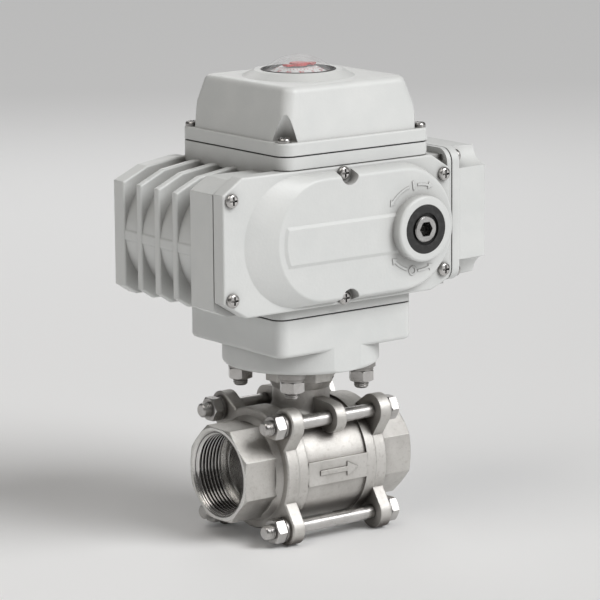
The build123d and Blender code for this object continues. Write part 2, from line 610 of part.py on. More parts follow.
def front_cover():
    cover = prism("Y", cover_outline(), COVER_FRONT, COVER_BACK)
    cover = fillet(cover.faces().sort_by(Axis.Y)[0].edges(), 1.2)
    bulge = racetrack(COVER_FRONT, RACE_FRONT, 0.0)
    bulge = fillet(bulge.faces().sort_by(Axis.Y)[0].edges(), 2.0)
    cover += bulge
    cover += band()
    boss = rod("Y", BOSS_RADIUS, BOSS_FRONT, RACE_FRONT + 2, WORM_X, AXIS_Z)
    cover += fillet(boss.edges().sort_by(Axis.Y)[0], 1.6)
    inside = prism("Y", cover_outline(4.0), COVER_FRONT + 3.5, COVER_BACK + 1)
    cavity = racetrack(COVER_FRONT + 4.0, RACE_FRONT + 3.2, -3.4)
    for x, z in cover_screw_places():
        inside -= rod("Y", 6.2, -60, -35, x, z)
        cavity -= rod("Y", SCREW_POCKET + 2.6, -60, -35, x, z)
    cover -= inside
    cover -= cavity
    for x, teeth in ((WORM_X, SPUR_TEETH), (MOTOR_X, PINION_TEETH)):
        cover -= rod("Y", teeth / 2 + 1.8, GEAR_FRONT - 0.6, COVER_BACK + 1, x, AXIS_Z)
    cover += rod("Y", BEARING_OUTER + 3, RACE_FRONT, INNER_BOSS, WORM_X, AXIS_Z)
    cover -= rod("Y", BEARING_OUTER, BOSS_FRONT - 1, BEARING_Y[1], WORM_X, AXIS_Z)
    cover -= rod("Y", 12.4, BOSS_FRONT + 1, INNER_BOSS + 1, WORM_X, AXIS_Z)
    for x, z in cover_screw_places():
        if abs(z - AXIS_Z) > 30:
            cover -= rod("Y", SCREW_POCKET, -70, COVER_FRONT, x, z)
        cover -= rod("Y", SCREW_RADIUS + 0.1, -60, -35, x, z)
    return cover


def front_cover_gasket():
    gasket = prism("Y", cover_outline(0.8), COVER_BACK, BODY_FRONT) - prism("Y", cover_outline(4.0), -60, -30)
    for x, z in cover_screw_places():
        pad = rod("Y", 4.6, COVER_BACK, BODY_FRONT, x, z) & prism("Y", cover_outline(0.8), -60, -30)
        gasket += pad
        gasket -= rod("Y", SCREW_RADIUS + 0.1, -60, -30, x, z)
    return gasket


def front_cover_screws():
    return together([Pos(x, COVER_FRONT, z) * Rot(90, 0, 0) * pan_screw(17) for x, z in cover_screw_places()])


# ------------------------------------------------------------------ side cover
def side_screw_places():
    y = SIDE_Y - SIDE_SCREW_INSET
    return [(side * y, z) for side in (-1, 1) for z in (SIDE_Z[0] + SIDE_SCREW_INSET, SIDE_Z[1] - SIDE_SCREW_INSET)]


def side_cover():
    cover = rounded_prism("X", (-SIDE_Y, SIDE_Y), SIDE_Z, 8.0, SIDE_INNER, SIDE_FLANGE)
    cover = fillet(cover.faces().sort_by(Axis.X)[-1].edges(), 1.0)
    middle_z = (SIDE_Z[0] + SIDE_Z[1]) / 2
    width, height = 2 * SIDE_Y - 1, SIDE_Z[1] - SIDE_Z[0] - 1
    lower = Plane.YZ.offset(SIDE_FLANGE - 1) * Pos(0, middle_z) * RectangleRounded(width, height, 8)
    upper = Plane.YZ.offset(SIDE_OUTER) * Pos(0, middle_z) * RectangleRounded(width - 2.4, height - 2.4, 8)
    box = loft([lower, upper])
    for y in (-SIDE_Y, SIDE_Y):
        for z in SIDE_Z:
            box -= rod("X", SIDE_NOTCH, SIDE_FLANGE, SIDE_OUTER + 1, y, z)
    box = fillet(box.faces().sort_by(Axis.X)[-1].edges(), 1.4)
    cover += box
    cover -= rounded_prism("X", (-33, 33), (SIDE_Z[0] + 4, SIDE_Z[1] - 4), 3, SIDE_INNER - 1, SIDE_OUTER - 3)
    cover -= rounded_prism("X", (-43, 43), (SIDE_Z[0] + 17, SIDE_Z[1] - 17), 3, SIDE_INNER - 1, SIDE_OUTER - 3)
    for y, z in side_screw_places():
        cover -= rod("X", SCREW_RADIUS + 0.1, 60, 100, y, z)
    return cover


def side_cover_gasket():
    inset = 0.8
    outer = rounded_prism("X", (-SIDE_Y + inset, SIDE_Y - inset), (SIDE_Z[0] + inset, SIDE_Z[1] - inset), 7.2,
                          BODY_RIGHT, SIDE_INNER)
    gasket = outer - rounded_prism("X", (-33, 33), (SIDE_Z[0] + 4, SIDE_Z[1] - 4), 3, 60, 80)
    for y, z in side_screw_places():
        gasket -= rod("X", SCREW_RADIUS + 0.1, 60, 100, y, z)
    return gasket


def side_cover_screws():
    return together([Pos(SIDE_FLANGE, y, z) * Rot(0, 90, 0) * pan_screw(9) for y, z in side_screw_places()])


# ------------------------------------------------------------------ top cover and indicator
def lid_taper(inset, low, high, corner):
    """Tapered box of the top cover between two levels of its slope."""
    faces = []
    for z in (low, high):
        rise = (z - LID_FLANGE_TOP) / (LID_TOP - LID_FLANGE_TOP)
        left = TOP_X[0] + 2 + rise * (LID_TOP_X[0] - TOP_X[0] - 2) + inset
        right = TOP_X[1] - 2 + rise * (LID_TOP_X[1] - TOP_X[1] + 2) - inset
        half = TOP_Y - 2 + rise * (LID_TOP_Y - TOP_Y + 2) - inset
        faces.append(Pos((left + right) / 2, 0, z) * RectangleRounded(right - left, 2 * half, corner))
    return loft(faces)


def top_cover():
    cover = lid_taper(0, LID_FLANGE_TOP - 2, LID_TOP, 7.0)
    for x, y in TOP_SCREWS:
        cover -= Pos(x, y, LID_FLANGE_TOP + LID_POCKET_HEIGHT / 2) * Cone(LID_POCKET, 0.6, LID_POCKET_HEIGHT)
    cover = fillet(cover.faces().sort_by(Axis.Z)[-1].edges(), 4.5)
    flange = rounded_prism("Z", TOP_X, (-TOP_Y, TOP_Y), TOP_CORNER, LID_BOTTOM, LID_FLANGE_TOP)
    cover += fillet(flange.faces().sort_by(Axis.Z)[-1].edges(), 1.2)
    collar = Pos(0, 0, (LID_TOP + RING_TOP) / 2) * Cone(COLLAR_BASE, COLLAR_TOP, RING_TOP - LID_TOP)
    cover += fillet(collar.edges().sort_by(Axis.Z)[-1], 1.0)
    inside = lid_taper(3.6, LID_FLANGE_TOP - 9, LID_TOP - 4, 5.0)
    inside &= block((-60, 60), (-60, 60), (LID_BOTTOM - 1, LID_TOP - 3.9))
    for x, y in TOP_SCREWS:
        inside -= rod("Z", 9.6, 180, LID_TOP, x, y)
    cover -= inside
    for x, y in TOP_SCREWS:
        cover -= rod("Z", SCREW_RADIUS + 0.1, 180, 200, x, y)
    for x, y in retainer_screw_places():
        cover -= rod("Z", 1.52, LID_TOP - 5, LID_TOP - 0.5, x, y)
    cover -= rod("Z", WINDOW_RADIUS + 0.3, LID_TOP - 6, RING_TOP + 1)
    return cover - ring("Z", WINDOW_RADIUS, WINDOW_RADIUS + SEAL_WIDTH + 0.1, RING_TOP - 1.6, RING_TOP + 1)


def top_cover_gasket():
    inset = 0.8
    outer = rounded_prism("Z", (TOP_X[0] + inset, TOP_X[1] - inset), (-TOP_Y + inset, TOP_Y - inset), 7.2,
                          NECK_TOP, LID_BOTTOM)
    opening = rounded_prism("Z", OPENING_X, (-OPENING_Y, OPENING_Y), 5.0, 180, 190)
    for x, y in TOP_SCREWS:
        opening -= rod("Z", 6.0, 160, 190, x, y)
    gasket = outer - opening
    for x, y in TOP_SCREWS:
        gasket -= rod("Z", SCREW_RADIUS + 0.1, 180, 190, x, y)
    return gasket


def top_cover_screws():
    return together([Pos(x, y, LID_FLANGE_TOP) * pan_screw(15) for x, y in TOP_SCREWS])


def dome(radius, top, base):
    """Spherical cap above a base level, as a solid."""
    rise = top - RING_TOP
    sphere_radius = (WINDOW_RADIUS ** 2 + (WINDOW_TOP - RING_TOP) ** 2) / (2 * (WINDOW_TOP - RING_TOP))
    centre = WINDOW_TOP - sphere_radius
    cap = Pos(0, 0, centre) * Sphere(sphere_radius - (WINDOW_TOP - top))
    return cap & rod("Z", radius, base, RING_TOP + rise + 1)


def indicator_window():
    inner = WINDOW_RADIUS - WINDOW_WALL
    window = dome(WINDOW_RADIUS, WINDOW_TOP, LID_TOP - 4.5) + ring("Z", inner - 0.5, 27, LID_TOP - 6, LID_TOP - 4)
    return window - dome(inner, WINDOW_TOP - WINDOW_WALL, LID_TOP - 7)


def window_seal():
    return ring("Z", WINDOW_RADIUS + 0.05, WINDOW_RADIUS + SEAL_WIDTH, RING_TOP - 1.55, RING_TOP + 0.3)


def retainer_screw_places():
    angles = [math.radians(90 + 120 * index) for index in range(3)]
    return [(RETAINER_SCREWS * math.cos(angle), RETAINER_SCREWS * math.sin(angle)) for angle in angles]


def window_retainer():
    retainer = ring("Z", DIAL_RADIUS, 33.0, RETAINER_BOTTOM, LID_TOP - 6)
    retainer += ring("Z", 27.2, 33.0, LID_TOP - 7, LID_TOP - 4)
    for x, y in retainer_screw_places():
        retainer -= rod("Z", 1.6, RETAINER_BOTTOM - 1, LID_TOP, x, y)
    return retainer


def indicator_dial():
    """Conical scale ring with a skirt down to the retainer."""
    wall = DIAL_RADIUS - DIAL_SHEET
    profile = [(DIAL_RADIUS, RETAINER_BOTTOM), (DIAL_RADIUS, DIAL_EDGE), (DIAL_INNER, DIAL_TOP), (5.0, DIAL_TOP),
               (5.0, DIAL_TOP - DIAL_SHEET), (DIAL_INNER, DIAL_TOP - DIAL_SHEET), (wall, DIAL_EDGE - DIAL_SHEET),
               (wall, RETAINER_BOTTOM)]
    return revolve(Plane.XZ * Polygon(*profile, align=None), Axis.Z)


def indicator_pointer():
    """Flat arrow on a hub, pointing along the bore while the valve is open."""
    low, high = POINTER_Z
    neck, half = POINTER_REACH - 6.0, 2.2
    arrow = Polygon((-POINTER_REACH + 3, -half), (neck, -half), (neck, -5.0), (POINTER_REACH, 0), (neck, 5.0),
                    (neck, half), (-POINTER_REACH + 3, half), align=None)
    pointer = rod("Z", 5.0, low, high + 0.6) + prism("Z", arrow, low, high)
    return pointer - rod("Z", 4.0, low - 1, high)


# ------------------------------------------------------------------ output train
def output_shaft():
    shaft = rod("Z", 13.0, 60.0, 73.0)
    shaft += rod("Z", 18.0, 72.0, 100.0)
    shaft += rod("Z", 16.0, 99, 127)
    shaft += rod("Z", 20.0, 126, 130)
    shaft += rod("Z", 15.0, 129, 149)
    shaft += rod("Z", 12.0, 148, 173)
    shaft += rod("Z", 6.0, 172, 212)
    shaft += rod("Z", 4.0, 211, POINTER_Z[1])
    half = STEM_SQUARE / 2 + 0.1
    shaft -= block((-half, half), (-half, half), (59, 77))
    return shaft - block((12, 18), (-3, 3), (132, 146))


def wheel_key():
    return block((12.05, 17.5), (-2.95, 2.95), (132.05, 145.95))


def worm_wheel():
    half_twist = math.degrees(WHEEL_WIDTH / 2 * WHEEL_MODULE / 2 / WORM_PITCH_RADIUS / (WHEEL_TEETH * WHEEL_MODULE / 2))
    low, high = AXIS_Z - WHEEL_WIDTH / 2, AXIS_Z + WHEEL_WIDTH / 2
    outline = gear_outline(WHEEL_TEETH, WHEEL_MODULE, 0.0, backlash=0.16, addendum=0.85, dedendum=1.15)
    wheel = loft([Pos(0, 0, low) * Rot(0, 0, -half_twist) * outline,
                  Pos(0, 0, high) * Rot(0, 0, half_twist) * outline], ruled=True)
    wheel += rod("Z", 22, 130, 148)
    wheel -= ring("Z", 22, 27, high - 3, high + 1)
    wheel -= ring("Z", 22, 27, low - 1, low + 3)
    return wheel - rod("Z", 15.0, 120, 150) - block((12, 17.6), (-3, 3), (120, 150))


def output_bushes():
    """Plain bearings of the output shaft: one in the base, one with a collar in the mid plate."""
    lower = ring("Z", 18.0 + RUN, 22.0, 72.5, BASE_TOP - 2)
    upper = ring("Z", 12.0 + RUN, 15.0, 155.0, 164.0) + ring("Z", 12.0 + RUN, 18.0, PLATE_TOP, 164.5)
    return together([lower, upper])


def mid_plate():
    plate = rounded_prism("Z", (-34, 64), (-35, 43), 5.0, PLATE_BOTTOM, PLATE_TOP)
    plate += rod("Z", 19, 154.5, PLATE_BOTTOM + 1)
    plate -= rod("Z", 15, 150, 170)
    for x, y in POSTS:
        plate -= rod("Z", 2.1, 150, 170, x, y)
    return plate


def inner_screws():
    """Screws of the mid plate, the motor and the window retainer."""
    screws = [Pos(x, y, PLATE_TOP) * pan_screw(12) for x, y in POSTS]
    for side in (-1, 1):
        place = Pos(MOTOR_X, BODY_FRONT + 0.1, AXIS_Z + side * MOTOR_EAR)
        screws.append(place * Rot(90, 0, 0) * pan_screw(10, 1.5, 2.9))
    for x, y in retainer_screw_places():
        screws.append(Pos(x, y, RETAINER_BOTTOM) * Rot(180, 0, 0) * pan_screw(8, 1.5, 2.9))
    return together(screws)


def limit_cam(low, turn):
    cam = Circle(11.0) + Rot(0, 0, turn) * Pos(6.0, 0) * Circle(8.5)
    return prism("Z", cam - Circle(6.0), low, low + 6)


def switch_bracket():
    bracket = block((20, 46), (-11, 11), (PLATE_TOP, PLATE_TOP + 2))
    return bracket + block((34, 36), (-11, 11), (PLATE_TOP + 1, 195))


def microswitches():
    switches = []
    for low in (177.0, 187.0):
        case = block((18, 34), (-10, 10), (low, low + 6.5))
        switches.append(case + block((16.5, 18.5), (-1, 1), (low + 2, low + 4.5)))
    return together(switches)


def terminal_block():
    strip = block((BODY_RIGHT, BODY_RIGHT + 12), (-27, 27), (124, 146))
    for index in range(6):
        y = -22.5 + 9 * index
        strip -= block((BODY_RIGHT + 7, BODY_RIGHT + 13), (y - 3.5, y + 3.5), (120, 128))
        strip -= rod("X", 3.0, BODY_RIGHT + 8, BODY_RIGHT + 13, y, 136)
    return strip


# ------------------------------------------------------------------ worm and spur train
def worm_thread():
    """Single-start right-hand thread along Y."""
    pitch = math.pi * WHEEL_MODULE
    length = 2 * WORM_HALF_LENGTH
    half_pitch_width, slope = 1.02, math.tan(PRESSURE_ANGLE)
    root = half_pitch_width + slope * (WORM_PITCH_RADIUS - WORM_CORE + 0.3)
    tip = half_pitch_width - slope * (WORM_TIP - WORM_PITCH_RADIUS)
    inner, outer = WORM_CORE - 0.3, WORM_TIP
    section = Polygon((inner, -root), (outer, -tip), (outer, tip), (inner, root), align=None)
    helix = Helix(pitch, length, WORM_PITCH_RADIUS)
    return sweep(Plane.XZ * section, path=helix, is_frenet=True)


def worm_shaft():
    shaft = rod("Y", SHAFT_RADIUS, SHAFT_END, GEAR_BACK, WORM_X, AXIS_Z)
    shaft = chamfer(shaft.edges().sort_by(Axis.Y)[0], 0.6)
    shaft += rod("Y", 7.0, GEAR_BACK - 1, -WORM_HALF_LENGTH - 4, WORM_X, AXIS_Z)
    shaft += rod("Y", WORM_CORE, -WORM_HALF_LENGTH - 5, WORM_HALF_LENGTH + 5, WORM_X, AXIS_Z)
    shaft += rod("Y", 6.0, WORM_HALF_LENGTH + 4, REAR_BUSH_Y[1] + 2, WORM_X, AXIS_Z)
    turn = math.degrees(WORM_HALF_LENGTH * 2 / WHEEL_MODULE)
    thread = Pos(WORM_X, -WORM_HALF_LENGTH, AXIS_Z) * Rot(0, -turn, 0) * Rot(-90, 0, 0) * worm_thread()
    shaft += thread
    socket = Pos(WORM_X, AXIS_Z) * RegularPolygon(SOCKET_FLATS / 2, 6, major_radius=False)
    return shaft - prism("Y", socket, SHAFT_END - 1, SHAFT_END + 12)


def worm_bearing_outer():
    race = ring("Y", 12.2, BEARING_OUTER, *BEARING_Y, WORM_X, AXIS_Z)
    groove = Pos(WORM_X, sum(BEARING_Y) / 2, AXIS_Z) * Rot(90, 0, 0) * Torus(BALL_CIRCLE, BEARING_BALL + RUN)
    return race - groove


def worm_bearing_inner():
    race = ring("Y", SHAFT_RADIUS, 9.3, *BEARING_Y, WORM_X, AXIS_Z)
    groove = Pos(WORM_X, sum(BEARING_Y) / 2, AXIS_Z) * Rot(90, 0, 0) * Torus(BALL_CIRCLE, BEARING_BALL + RUN)
    return race - groove


def worm_bearing_balls():
    balls = []
    for index in range(BEARING_BALLS):
        angle = 2 * math.pi * index / BEARING_BALLS
        x, z = WORM_X + BALL_CIRCLE * math.cos(angle), AXIS_Z + BALL_CIRCLE * math.sin(angle)
        balls.append(Pos(x, sum(BEARING_Y) / 2, z) * Sphere(BEARING_BALL))
    return together(balls)


def shaft_seal():
    """Rubber seal in the boss, in front of the bearing, with its lip set back round the shaft."""
    seal = ring("Y", SHAFT_RADIUS + RUN, BEARING_OUTER, *SEAL_Y, WORM_X, AXIS_Z)
    return seal - ring("Y", SHAFT_RADIUS, SEAL_LIP, SEAL_Y[0] - 1, SEAL_Y[0] + 1.5, WORM_X, AXIS_Z)


def worm_rear_bush():
    return ring("Y", 6.0 + RUN, 9.0, *REAR_BUSH_Y, WORM_X, AXIS_Z)


def idler_pin(x):
    return rod("Y", IDLER_PIN_RADIUS, GEAR_FRONT - 2.0, BODY_FRONT + 3.9, x, AXIS_Z)


def idler_gear(teeth, x, phase):
    gear = spur_gear(teeth, x, IDLER_PIN_RADIUS + RUN, phase)
    groove = ring("Y", 7.5, teeth / 2 - 4, GEAR_FRONT - 1, GEAR_FRONT + 1.5, x, AXIS_Z)
    return gear - groove


def motor_pinion():
    gear = spur_gear(PINION_TEETH, MOTOR_X, 3.0, math.pi / PINION_TEETH)
    return gear + rod("Y", 3.0, GEAR_FRONT, -22, MOTOR_X, AXIS_Z)


def motor():
    body = rod("Y", MOTOR_RADIUS, BODY_FRONT + 1, 40, MOTOR_X, AXIS_Z)
    body = fillet(body.edges().sort_by(Axis.Y)[-1], 2.0)
    body += motor_flange(0.0, BODY_FRONT + 0.1, BODY_FRONT + 2.9)
    body -= rod("Y", 3.0 + RUN, BODY_FRONT - 1, -21, MOTOR_X, AXIS_Z)
    for side in (-1, 1):
        body -= rod("Y", 1.55, -45, -30, MOTOR_X, AXIS_Z + side * MOTOR_EAR)
    return body


# ------------------------------------------------------------------ cable glands
def cable_gland_bodies():
    glands = []
    for x, z in gland_places():
        body = rod("Y", GLAND_RADIUS, CHAMBER_Y[1], BODY_BACK + 1, x, z)
        body += hexagon("Y", 24.0, BODY_BACK, BODY_BACK + 5, x, z)
        body += rod("Y", 9.0, BODY_BACK + 4, BODY_BACK + 13, x, z)
        glands.append(body - rod("Y", 6.0, 40, 90, x, z))
    return together(glands)


def cable_gland_seals():
    return together([ring("Y", 3.0, 6.0, BODY_BACK + 5, BODY_BACK + 15, x, z) for x, z in gland_places()])


def cable_gland_nuts():
    nuts = []
    for x, z in gland_places():
        nut = hexagon("Y", 22.0, BODY_BACK + 5.3, BODY_BACK + 13, x, z)
        cap = rod("Y", 10.8, BODY_BACK + 12, BODY_BACK + 17, x, z)
        nut += fillet(cap.edges().sort_by(Axis.Y)[-1], 3.0)
        nut -= rod("Y", 9.02, BODY_BACK + 4, BODY_BACK + 13.02, x, z)
        nuts.append(nut - rod("Y", 6.05, BODY_BACK + 4, BODY_BACK + 20, x, z))
    return together(nuts)


# ------------------------------------------------------------------ assembly
def build():
    pieces = {
        "valve_body": valve_body(),
        "end_cap_left": end_cap(-1),
        "end_cap_right": end_cap(1),
        "ball": ball(),
        "ball_seats": ball_seats(),
        "body_seals": body_seals(),
        "valve_stem": valve_stem(),
        "stem_thrust_washer": ring("Z", STEM_RADIUS + 0.1, 11.4, 32.05, 33.45),
        "stem_packing": ring("Z", STEM_RADIUS + RUN, 11.95, 40.05, 46.0),
        "packing_gland": ring("Z", STEM_RADIUS + 0.1, 11.9, 46.0, 50.35),
        "disc_springs": disc_springs(),
        "stem_nut": stem_nut(),
        "tie_bolts": tie_bolts(),
        "m8_nuts": m8_nuts(),
        "m8_washers": m8_washers(),
        "base_housing": base_housing(),
        "base_gasket": base_gasket(),
        "base_screws": base_screws(),
        "base_studs": base_studs(),
        "pad_screws": pad_screws(),
        "main_housing": main_housing(),
        "front_cover": front_cover(),
        "front_cover_gasket": front_cover_gasket(),
        "front_cover_screws": front_cover_screws(),
        "side_cover": side_cover(),
        "side_cover_gasket": side_cover_gasket(),
        "side_cover_screws": side_cover_screws(),
        "top_cover": top_cover(),
        "top_cover_gasket": top_cover_gasket(),
        "top_cover_screws": top_cover_screws(),
        "indicator_window": indicator_window(),
        "window_seal": window_seal(),
        "window_retainer": window_retainer(),
        "indicator_dial": indicator_dial(),
        "indicator_pointer": indicator_pointer(),
        "output_shaft": output_shaft(),
        "wheel_key": wheel_key(),
        "worm_wheel": worm_wheel(),
        "output_bushes": output_bushes(),
        "mid_plate": mid_plate(),
        "inner_screws": inner_screws(),
        "switch_bracket": switch_bracket(),
        "limit_cams": together([limit_cam(177.0, 0), limit_cam(187.0, 90)]),
        "microswitches": microswitches(),
        "terminal_block": terminal_block(),
        "worm_shaft": worm_shaft(),
        "worm_bearing_outer": worm_bearing_outer(),
        "worm_bearing_inner": worm_bearing_inner(),
        "worm_bearing_balls": worm_bearing_balls(),
        "shaft_seal": shaft_seal(),
        "worm_rear_bush": worm_rear_bush(),
        "worm_spur_gear": spur_gear(SPUR_TEETH, WORM_X, SHAFT_RADIUS),
        "idler_gear_first": idler_gear(FIRST_IDLER_TEETH, FIRST_IDLER_X, 0.0),
        "idler_gear_second": idler_gear(SECOND_IDLER_TEETH, SECOND_IDLER_X, math.pi / SECOND_IDLER_TEETH),
        "idler_pins": together([idler_pin(FIRST_IDLER_X), idler_pin(SECOND_IDLER_X)]),
        "motor": motor(),
        "motor_pinion": motor_pinion(),
        "cable_gland_bodies": cable_gland_bodies(),
        "cable_gland_seals": cable_gland_seals(),
        "cable_gland_nuts": cable_gland_nuts(),
    }
    return pieces


def main():
    os.makedirs("parts", exist_ok=True)
    for name, piece in build().items():
        piece.label = name
        export_step(piece, os.path.join("parts", name + ".step"))


main()
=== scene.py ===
import json
import math

import bmesh
import bpy
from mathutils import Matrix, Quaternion, Vector


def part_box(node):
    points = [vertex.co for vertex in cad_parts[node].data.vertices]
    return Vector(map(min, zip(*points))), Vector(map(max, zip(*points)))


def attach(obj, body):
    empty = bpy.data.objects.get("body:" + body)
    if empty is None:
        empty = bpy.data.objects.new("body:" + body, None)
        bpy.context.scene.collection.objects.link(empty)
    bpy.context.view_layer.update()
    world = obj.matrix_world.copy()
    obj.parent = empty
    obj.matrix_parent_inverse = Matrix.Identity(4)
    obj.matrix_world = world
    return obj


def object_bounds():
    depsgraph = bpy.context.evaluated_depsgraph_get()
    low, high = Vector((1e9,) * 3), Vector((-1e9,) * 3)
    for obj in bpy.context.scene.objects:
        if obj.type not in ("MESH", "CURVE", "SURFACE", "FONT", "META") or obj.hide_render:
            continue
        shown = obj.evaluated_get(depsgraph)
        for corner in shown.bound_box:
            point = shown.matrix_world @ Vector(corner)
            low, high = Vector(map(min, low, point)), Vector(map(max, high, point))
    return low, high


# Electric quarter-turn actuator on a three-piece ball valve: finishes, threads, dial print,
# cast marks, camera and light. Lengths are in metres and directions are those of the CAD row.

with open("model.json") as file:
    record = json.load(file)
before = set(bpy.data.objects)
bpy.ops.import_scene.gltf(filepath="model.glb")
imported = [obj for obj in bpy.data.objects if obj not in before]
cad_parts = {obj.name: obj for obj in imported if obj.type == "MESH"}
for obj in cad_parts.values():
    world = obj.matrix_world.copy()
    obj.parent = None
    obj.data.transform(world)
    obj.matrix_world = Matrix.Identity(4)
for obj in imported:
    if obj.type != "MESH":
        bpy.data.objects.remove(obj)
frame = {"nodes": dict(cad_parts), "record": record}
nodes = frame["nodes"]
cad_bounds = [list(corner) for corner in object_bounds()]

MM = 0.001
TURN = 2 * math.pi


# ------------------------------------------------------------------ finish toolkit
class Finish:
    """A Principled material and short calls for the nodes that the finishes share."""

    def __init__(self, name):
        self.material = bpy.data.materials.new(name)
        self.material.use_nodes = True
        self.tree = self.material.node_tree
        self.shader = self.tree.nodes["Principled BSDF"]
        self.place = self.tree.nodes.new("ShaderNodeTexCoord").outputs["Object"]

    def node(self, kind, **settings):
        made = self.tree.nodes.new(kind)
        for key, value in settings.items():
            setattr(made, key, value)
        return made

    def feed(self, socket, value):
        if hasattr(value, "is_output"):
            self.tree.links.new(value, socket)
        else:
            socket.default_value = value

    def set(self, **values):
        for key, value in values.items():
            self.feed(self.shader.inputs[key.replace("_", " ")], value)

    def stretched(self, scale):
        """Object coordinates scaled unevenly, for brushed or turned grain."""
        mapping = self.node("ShaderNodeMapping")
        mapping.inputs["Scale"].default_value = scale
        self.feed(mapping.inputs["Vector"], self.place)
        return mapping.outputs["Vector"]

    def noise(self, size, detail=3.0, rough=0.55, where=None):
        """Noise whose features are about `size` metres across."""
        made = self.node("ShaderNodeTexNoise")
        self.feed(made.inputs["Vector"], where or self.place)
        made.inputs["Scale"].default_value = 1.0 / size
        made.inputs["Detail"].default_value = detail
        made.inputs["Roughness"].default_value = rough
        return made.outputs["Fac"]

    def span(self, value, low, high, new_low, new_high):
        """Linear change of range, clamped."""
        made = self.node("ShaderNodeMapRange")
        for socket, number in zip(made.inputs, (value, low, high, new_low, new_high)):
            self.feed(socket, number)
        return made.outputs["Result"]

    def math(self, operation, first, second=0.0):
        made = self.node("ShaderNodeMath", operation=operation)
        self.feed(made.inputs[0], first)
        self.feed(made.inputs[1], second)
        return made.outputs[0]

    def mix(self, share, first, second, blend="MIX"):
        made = self.node("ShaderNodeMix", data_type="RGBA", blend_type=blend)
        self.feed(made.inputs["Factor"], share)
        self.feed(made.inputs["A"], first)
        self.feed(made.inputs["B"], second)
        return made.outputs["Result"]

    def rounded(self, radius):
        """Surface direction with the hard edges rounded off."""
        made = self.node("ShaderNodeBevel", samples=4)
        made.inputs["Radius"].default_value = radius
        return made.outputs["Normal"]

    def edges(self, radius):
        """1 along sharp edges and corners, 0 on open faces."""
        bevel = self.rounded(radius)
        flat = self.node("ShaderNodeNewGeometry").outputs["Normal"]
        dot = self.node("ShaderNodeVectorMath", operation="DOT_PRODUCT")
        self.feed(dot.inputs[0], bevel)
        self.feed(dot.inputs[1], flat)
        return self.span(dot.outputs["Value"], 0.985, 0.86, 0.0, 1.0)

    def crevices(self, reach):
        """Mask for painted shade: 1 deep in corners and joints, 0 on open faces."""
        made = self.node("ShaderNodeAmbientOcclusion", samples=6, only_local=False)
        made.inputs["Distance"].default_value = reach
        return self.span(made.outputs["AO"], 0.35, 0.95, 1.0, 0.0)

    def bump(self, height, depth, below=None, strength=1.0):
        made = self.node("ShaderNodeBump")
        made.inputs["Strength"].default_value = strength
        made.inputs["Distance"].default_value = depth
        self.feed(made.inputs["Height"], height)
        if below is not None:
            self.feed(made.inputs["Normal"], below)
        return made.outputs["Normal"]


def grey(level, warm=0.0):
    return (level * (1 + warm), level, level * (1 - warm), 1.0)


# ------------------------------------------------------------------ finishes
def powder_coat():
    """Light grey powder coat on die-cast aluminium: fine orange peel, slight mottling, painted shade in the
    joints.
    """
    f = Finish("powder_coat")
    mottle = f.noise(22 * MM, 3.0)
    paint = f.mix(f.span(mottle, 0.35, 0.65, 0.0, 1.0), (0.700, 0.713, 0.704, 1), (0.735, 0.745, 0.734, 1))
    specks = f.span(f.noise(0.5 * MM, 1.0), 0.70, 0.78, 0.0, 0.25)
    paint = f.mix(specks, paint, grey(0.50, 0.02))
    # painted shade: the paint is darkened towards a warm dark grey in corners and joints
    paint = f.mix(f.math("MULTIPLY", f.crevices(13 * MM), 0.70), paint, grey(0.15, 0.06))
    paint = f.mix(f.math("MULTIPLY", f.edges(0.5 * MM), 0.25), paint, grey(0.84))
    fine = f.math("MULTIPLY", f.noise(1.5 * MM, 1.5), 0.8)
    peel = f.math("ADD", fine, f.math("MULTIPLY", f.noise(3.2 * MM, 1.0), 0.5))
    normal = f.bump(peel, 0.09 * MM, f.rounded(0.7 * MM))
    normal = f.bump(f.noise(0.28 * MM, 1.0), 0.006 * MM, normal)
    f.set(Base_Color=paint, Roughness=f.span(mottle, 0.3, 0.7, 0.36, 0.46), Normal=normal)
    f.set(Coat_Weight=0.12, Coat_Roughness=0.25)
    return f.material


PORT_MOUTH = 25.2 * MM  # everything nearer the pipe axis is machined
PORT_END = 59.35 * MM  # and so is everything further out along it


def cast_stainless():
    """Investment casting, bead blasted; bores, threads and end faces are machined."""
    f = Finish("cast_stainless")
    parts = f.node("ShaderNodeSeparateXYZ")
    f.feed(parts.inputs[0], f.place)
    along, across, up = parts.outputs
    radius = f.math("SQRT", f.math("ADD", f.math("POWER", across, 2.0), f.math("POWER", up, 2.0)))
    inside = f.math("LESS_THAN", radius, PORT_MOUTH)
    end_face = f.math("GREATER_THAN", f.math("ABSOLUTE", along), PORT_END)
    machined = f.math("MAXIMUM", inside, end_face)
    patches = f.noise(14 * MM, 4.0)
    grain = f.noise(0.7 * MM, 3.0)
    blasted = f.mix(f.span(patches, 0.3, 0.7, 0.0, 1.0), (0.56, 0.545, 0.52, 1), (0.68, 0.665, 0.64, 1))
    # painted shade: dark brown mixed into the blasted colour in corners and joints
    blasted = f.mix(f.math("MULTIPLY", f.crevices(10 * MM), 0.92), blasted, (0.075, 0.06, 0.05, 1))
    blasted = f.mix(f.math("MULTIPLY", f.edges(0.5 * MM), 0.5), blasted, (0.80, 0.79, 0.77, 1))
    turned = f.noise(0.25 * MM, 1.0, where=f.stretched((1.0, 0.06, 0.06)))
    cut = f.mix(turned, (0.66, 0.65, 0.63, 1), (0.78, 0.77, 0.75, 1))
    blasted = f.mix(f.span(f.noise(2.2 * MM, 4.0), 0.55, 0.75, 0.0, 0.35), blasted, (0.34, 0.31, 0.28, 1))
    f.set(Base_Color=f.mix(machined, blasted, cut), Metallic=1.0)
    dull = f.span(grain, 0.3, 0.7, 0.46, 0.60)
    f.set(Roughness=f.span(machined, 0.0, 1.0, dull, 0.24))
    blast = f.bump(grain, 0.14 * MM, f.rounded(0.8 * MM))
    blast = f.bump(f.noise(6 * MM, 2.0), 0.10 * MM, blast)
    f.set(Normal=blast)
    return f.material


